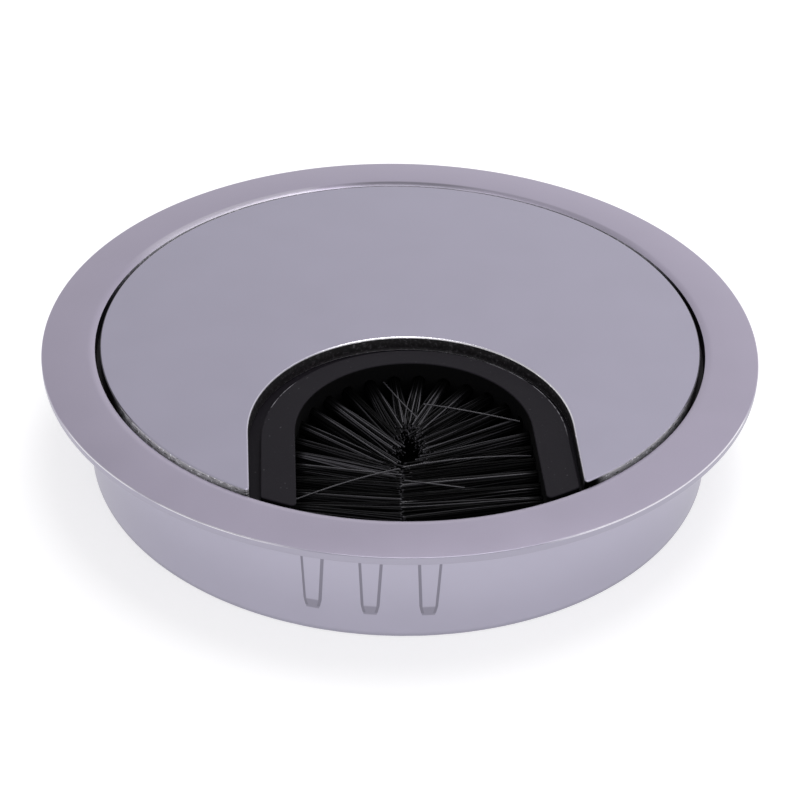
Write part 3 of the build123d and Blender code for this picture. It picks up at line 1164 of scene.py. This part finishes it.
    def stray_line(self, marks: Array) -> Array:
        """One loose filament: the parabola through its root, middle and tip.

        Args:
            marks: these three points.

        Returns:
            Points, (1, steps, 3).
        """
        share = self.shares()[:, None]
        root, middle, tip = marks
        return (root * (1 - share) * (1 - 2 * share) + middle * 4 * share * (1 - share)
                + tip * share * (2 * share - 1))[None]

    def light_from_root(self, lines: Array, facing: float) -> Array:
        """How lit each ring is: 0 at the root in the wall's shade, 1 past the shade's length.

        Args:
            lines: centre lines, (tubes, steps, 3).
            facing: how far the hole faces forwards, 0 on the legs to 1 at the back.

        Returns:
            A share for each ring, (tubes, steps).
        """
        reach = np.linalg.norm(lines - lines[:, :1], axis=-1)
        share = np.clip((reach - 0.3) / (0.4 + self.dark_root * facing), 0, 1)
        share[self.filaments:] = 1.0
        return 0.12 + 0.88 * share ** 1.4

    def build(self) -> list[Piece]:
        """Makes one piece of filaments for each hole.

        Returns:
            The pieces, from the left leg round to the right leg.
        """
        chance = np.random.default_rng(self.seed)
        pieces = []
        for number, (root, inward) in enumerate(self.places()):
            lines = self.tuft_lines(number, root, inward, chance)
            # Painted light: a filament's value is random, higher high in the hole and on the loose filaments,
            # and dimmed near the root where the wall's shade falls.
            height = (lines[:, 0, 2] - self.level) / self.plug_radius
            shades = np.clip(chance.random(len(lines)) * (0.70 + 0.5 * height), 0, 1)
            shades[self.filaments:] = 0.95
            shades = shades[:, None] * self.light_from_root(lines, abs(inward[1]))
            name = f"bristles_{number + 1:02d}"
            pieces.append(strands(name, lines, self.filament_radius, self.sides, shades))
        return pieces


def strands(name: str, lines: Array, radius: float, sides: int, shades: Array) -> Piece:
    """Tubes along centre lines: each ring stands square to the line, and both ends are capped.

    Args:
        name: the piece's name.
        lines: centre lines, (tubes, steps, 3).
        radius: the tubes' radius.
        sides: the tubes' sides.
        shades: each ring's painted light and random tone, 0 dull to 1 bright, (tubes, steps).

    Returns:
        The piece.
    """
    tubes, steps = lines.shape[:2]
    along = np.gradient(lines, axis=1)
    along /= np.linalg.norm(along, axis=-1, keepdims=True)
    level = np.cross(along, [0.0, 0.0, 1.0])
    level /= np.linalg.norm(level, axis=-1, keepdims=True)
    rise = np.cross(level, along)
    turn = (np.arange(sides) * 2 * np.pi / sides)[None, None, :, None]
    points = lines[:, :, None] + radius * (level[:, :, None] * np.cos(turn) + rise[:, :, None] * np.sin(turn))
    one = ring_faces(steps, sides)
    shift = np.arange(tubes)[:, None, None] * steps * sides
    body = (one[None] + shift).reshape(-1, 4)
    cap = np.arange(sides)[None, :]
    ends = np.concatenate([cap[:, ::-1], cap + (steps - 1) * sides])
    ends = (ends[None] + shift).reshape(-1, sides)
    shell = Shell()
    shell.add(points.reshape(-1, 3), [body, ends])
    piece = shell.make(name, 70.0)
    # Painted light and random tone at each ring, for the nylon's colour.
    carry(piece.data, "strand", np.repeat(shades.ravel(), sides))
    carry(piece.data, "tip", np.tile(np.repeat(np.arange(steps) == steps - 1, sides), tubes))
    return piece


# Studio

@dataclass
class Studio:
    """Floor, soft lights, surroundings and the camera at the photograph's angle. Millimetres and degrees."""

    camera_at: Point = (-13.71, -192.80, 140.95)
    looks_at: Point = (0.11, -0.05, 5.05)
    roll_deg: float = 1.15
    lens_mm: float = 81.45
    floor_radius: float = 4000.0
    sky: tuple[tuple[float, Colour], ...] = ((0.0, (1.0, 1.0, 1.0)), (0.38, (0.97, 0.97, 0.98)),
                                             (0.66, (0.54, 0.54, 0.56)), (1.0, (0.42, 0.42, 0.44)))

    def camera(self) -> None:
        """Makes the camera: looking from its place to its target, rolled about its line of sight."""
        data = bpy.data.cameras.new("camera")
        data.lens, data.sensor_width = self.lens_mm, 36.0
        data.clip_start, data.clip_end = 0.005, 20.0
        place, target = Vector(self.camera_at) * MM, Vector(self.looks_at) * MM
        roll = Quaternion((0, 0, 1), math.radians(self.roll_deg))
        camera = stand("camera", data)
        camera.matrix_world = Matrix.LocRotScale(place, (target - place).to_track_quat("-Z", "Y") @ roll, None)
        bpy.context.scene.camera = camera

    def floor(self) -> None:
        """Makes the floor: a flat square at the tube's lower rim."""
        corners = np.array([[-1, -1, 0], [1, -1, 0], [1, 1, 0], [-1, 1, 0]])
        points = corners * self.floor_radius * MM
        mesh = bpy.data.meshes.new("floor")
        mesh.from_pydata(points.tolist(), [], [(0, 1, 2, 3)])
        floor = stand("floor", mesh)
        dress(floor, PaleFloor("pale_floor").make())

    def softbox(self, name: str, place: Point, size: float, power: float) -> None:
        """Adds one square soft light that faces the object.

        Args:
            name: the light's name.
            place: where it hangs.
            size: its side.
            power: its power in watts.
        """
        data = bpy.data.lights.new(name, "AREA")
        data.shape, data.size, data.energy = "SQUARE", size * MM, power
        light = stand(name, data)
        light.location = Vector(place) * MM
        light.rotation_euler = (-Vector(place)).to_track_quat("-Z", "Y").to_euler()

    def surroundings(self) -> None:
        """Makes the world: white near the horizon, dimmer overhead, a little brighter from the right."""
        world = bpy.data.worlds.new("studio")
        bpy.context.scene.world = world
        board = Board(world)
        direction = board.add("TexCoord").outputs["Generated"]
        sideways, _, height = board.axes(direction)
        ramp = board.add("ValToRGB", {"stops": self.sky}, {0: height})
        strength = sideways.rise(-0.35, 0.45) * 0.30 + 0.84
        light = board.add("Background", None, {"Color": ramp.outputs[0], "Strength": strength})
        board.add("OutputWorld", None, {"Surface": light.outputs[0]})

    def build(self) -> None:
        """Makes the whole studio."""
        bpy.context.scene.view_settings.view_transform = "Standard"
        self.camera()
        self.floor()
        self.surroundings()
        self.softbox("softbox_key", (70, 60, 600), 260, 1.1)
        self.softbox("softbox_fill", (-120, -420, 460), 420, 0.3)


def main() -> None:
    """Builds the studio, the casting, the lid and the brush, and dresses them."""
    logging.basicConfig(level=logging.INFO, format="%(name)s: %(message)s")
    Studio().build()

    casting = Housing().build()
    dress(casting, SatinChrome("chrome_casting", level_colour=(0.470, 0.430, 0.532)).make())
    seat(casting, "housing_metal", "housing")

    plate = Lid().build()
    dress(plate, SatinChrome("chrome_lid", cut_out=(37.2, 37.0)).make())
    seat(plate, "lid_metal", "lid")

    dress(frame["nodes"]["brush_frame"], SparkErodedPlastic("black_plastic").make())
    dress(frame["nodes"]["frame_screws"], ZincPlate("zinc_plate").make())

    nylon = BlackNylon("black_nylon").make()
    for number, tuft in enumerate(Brush().build(), start=1):
        dress(tuft, nylon)
        seat(tuft, "bristle_nylon", f"bristle_tuft_{number:02d}")

    bpy.context.view_layer.update()


if __name__ == "__main__":
    main()
